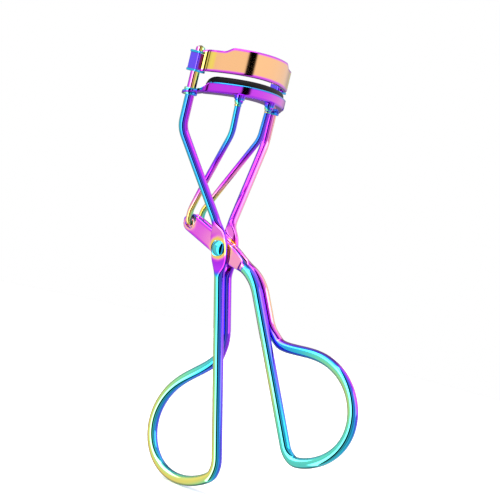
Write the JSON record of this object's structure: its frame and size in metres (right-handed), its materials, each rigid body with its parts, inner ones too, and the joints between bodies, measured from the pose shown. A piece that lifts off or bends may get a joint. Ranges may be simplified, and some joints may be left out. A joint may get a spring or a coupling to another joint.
{
  "type": "eyelash curler",
  "caption": "Scissor-action eyelash curler: curved jaws with a rubber pad slide on guide posts, worked by finger-loop handles through a push wire.",
  "frame": {"origin": "centre of the whole tool's bounding box, jaws nearly closed", "axes": "+Z along the guide posts towards the jaws, +X towards the side that the jaws bulge to, Y across the jaws"},
  "size_m": [0.062, 0.036, 0.1048],
  "materials": {
    "rainbow_wire": "polished iridescent titanium-nitride plating on steel wire",
    "rainbow_rivet": "polished iridescent plating on formed steel",
    "violet_jaw": "polished iridescent plating, violet on the lower jaw",
    "gold_jaw": "polished iridescent plating, amber gold on the upper jaw",
    "violet_clip": "polished iridescent plating on the folded sheet clips",
    "black_rubber": "smooth moulded black silicone rubber"
  },
  "bodies": {
    "frame": {"guide_frame": "rainbow_wire", "upper_jaw": "gold_jaw", "post_clip_left": "violet_clip", "post_clip_right": "violet_clip", "pivot_rivet": "rainbow_rivet"},
    "lever": {"squeeze_lever": "rainbow_wire", "pivot_spacer": "rainbow_rivet"},
    "jaw": {"lower_jaw": "violet_jaw", "lash_pad": "black_rubber", "guide_eyelet_left": "rainbow_rivet", "guide_eyelet_right": "rainbow_rivet"},
    "link": {"push_wire": "rainbow_wire", "swivel_bead_left": "rainbow_rivet", "swivel_bead_right": "rainbow_rivet"}
  },
  "joints": [
    {"name": "handle_pivot", "type": "hinge", "parent": "frame", "child": "lever", "pos_m": [-0.01775, 0, 0.00511], "axis": [0, 1, 0], "range_deg": [-26, 3.7]},
    {"name": "jaw_slide", "type": "slide", "parent": "frame", "child": "jaw", "axis": [0, 0, 1], "range_m": [-0.00549, 0.00078]},
    {"name": "push_wire_swivel", "type": "hinge", "parent": "jaw", "child": "link", "pos_m": [-0.01917, 0, 0.04006], "axis": [0, 1, 0], "range_deg": [-0.21, 1.5]}
  ],
  "couplings": [
    {"joint": "jaw_slide", "follows": "handle_pivot", "m_per_rad": 0.01186},
    {"joint": "push_wire_swivel", "follows": "handle_pivot", "ratio": -0.055}
  ]
}
